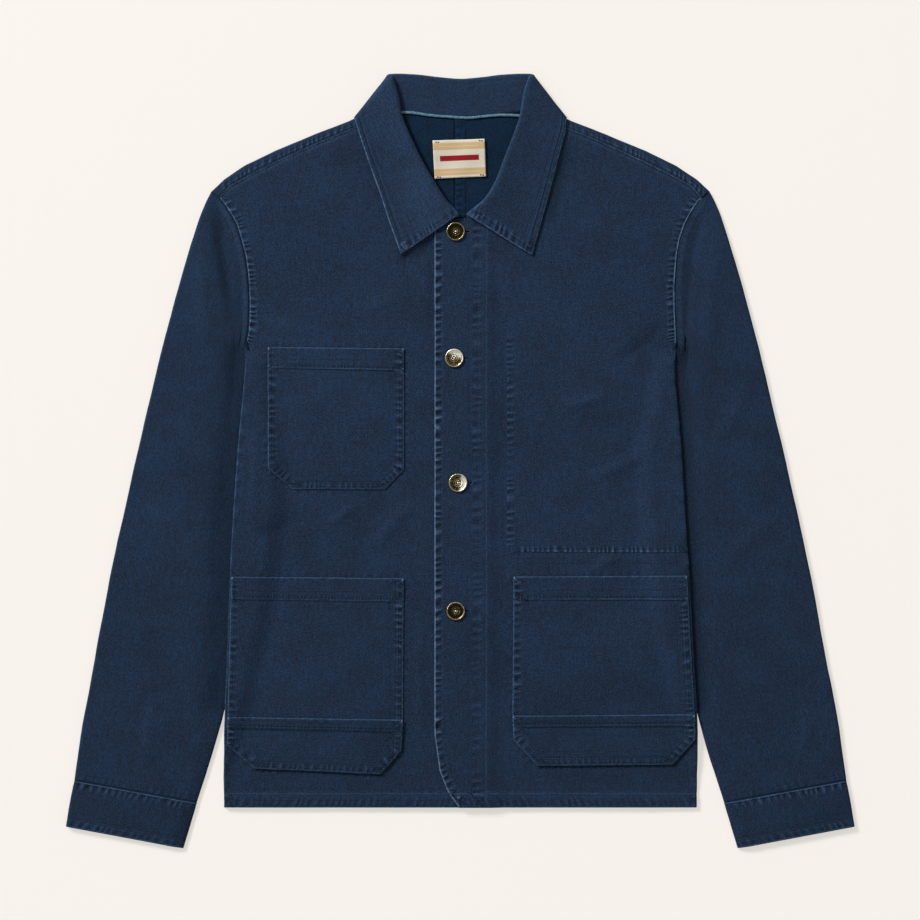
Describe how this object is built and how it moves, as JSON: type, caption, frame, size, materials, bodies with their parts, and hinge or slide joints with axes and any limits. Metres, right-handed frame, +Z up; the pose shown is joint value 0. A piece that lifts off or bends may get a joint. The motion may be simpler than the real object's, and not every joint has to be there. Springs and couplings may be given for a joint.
{
  "type": "work jacket",
  "caption": "Cotton twill work jacket laid flat and buttoned, with a turned-down collar, patch pockets and straight sleeves.",
  "frame": {"origin": "middle of the bounding box, on the surface that the jacket lies on", "axes": "+Z up from that surface through the front of the jacket, +Y from the hem to the collar, +X towards the wearer's left"},
  "size_m": [0.8038, 0.7905, 0.0108],
  "materials": {
    "twill": "garment-dyed navy cotton twill, matte, worn pale on the seams",
    "tape": "light blue cotton tape",
    "label": "cream woven label, no lettering",
    "button": "antique brass, dished, rubbed bright on the rims"
  },
  "bodies": {
    "root": {"back_right": "twill", "back_left": "twill", "front_right": "twill", "front_left": "twill", "sleeve_right": "twill", "sleeve_left": "twill", "cuff_right": "twill", "cuff_left": "twill", "collar": "twill", "chest_pocket": "twill", "lower_pocket_right": "twill", "lower_pocket_left": "twill", "pocket_patch_right": "twill", "pocket_patch_left": "twill", "neck_tape": "tape", "label": "label", "button_1": "button", "button_2": "button", "button_3": "button", "button_4": "button"}
  },
  "joints": []
}
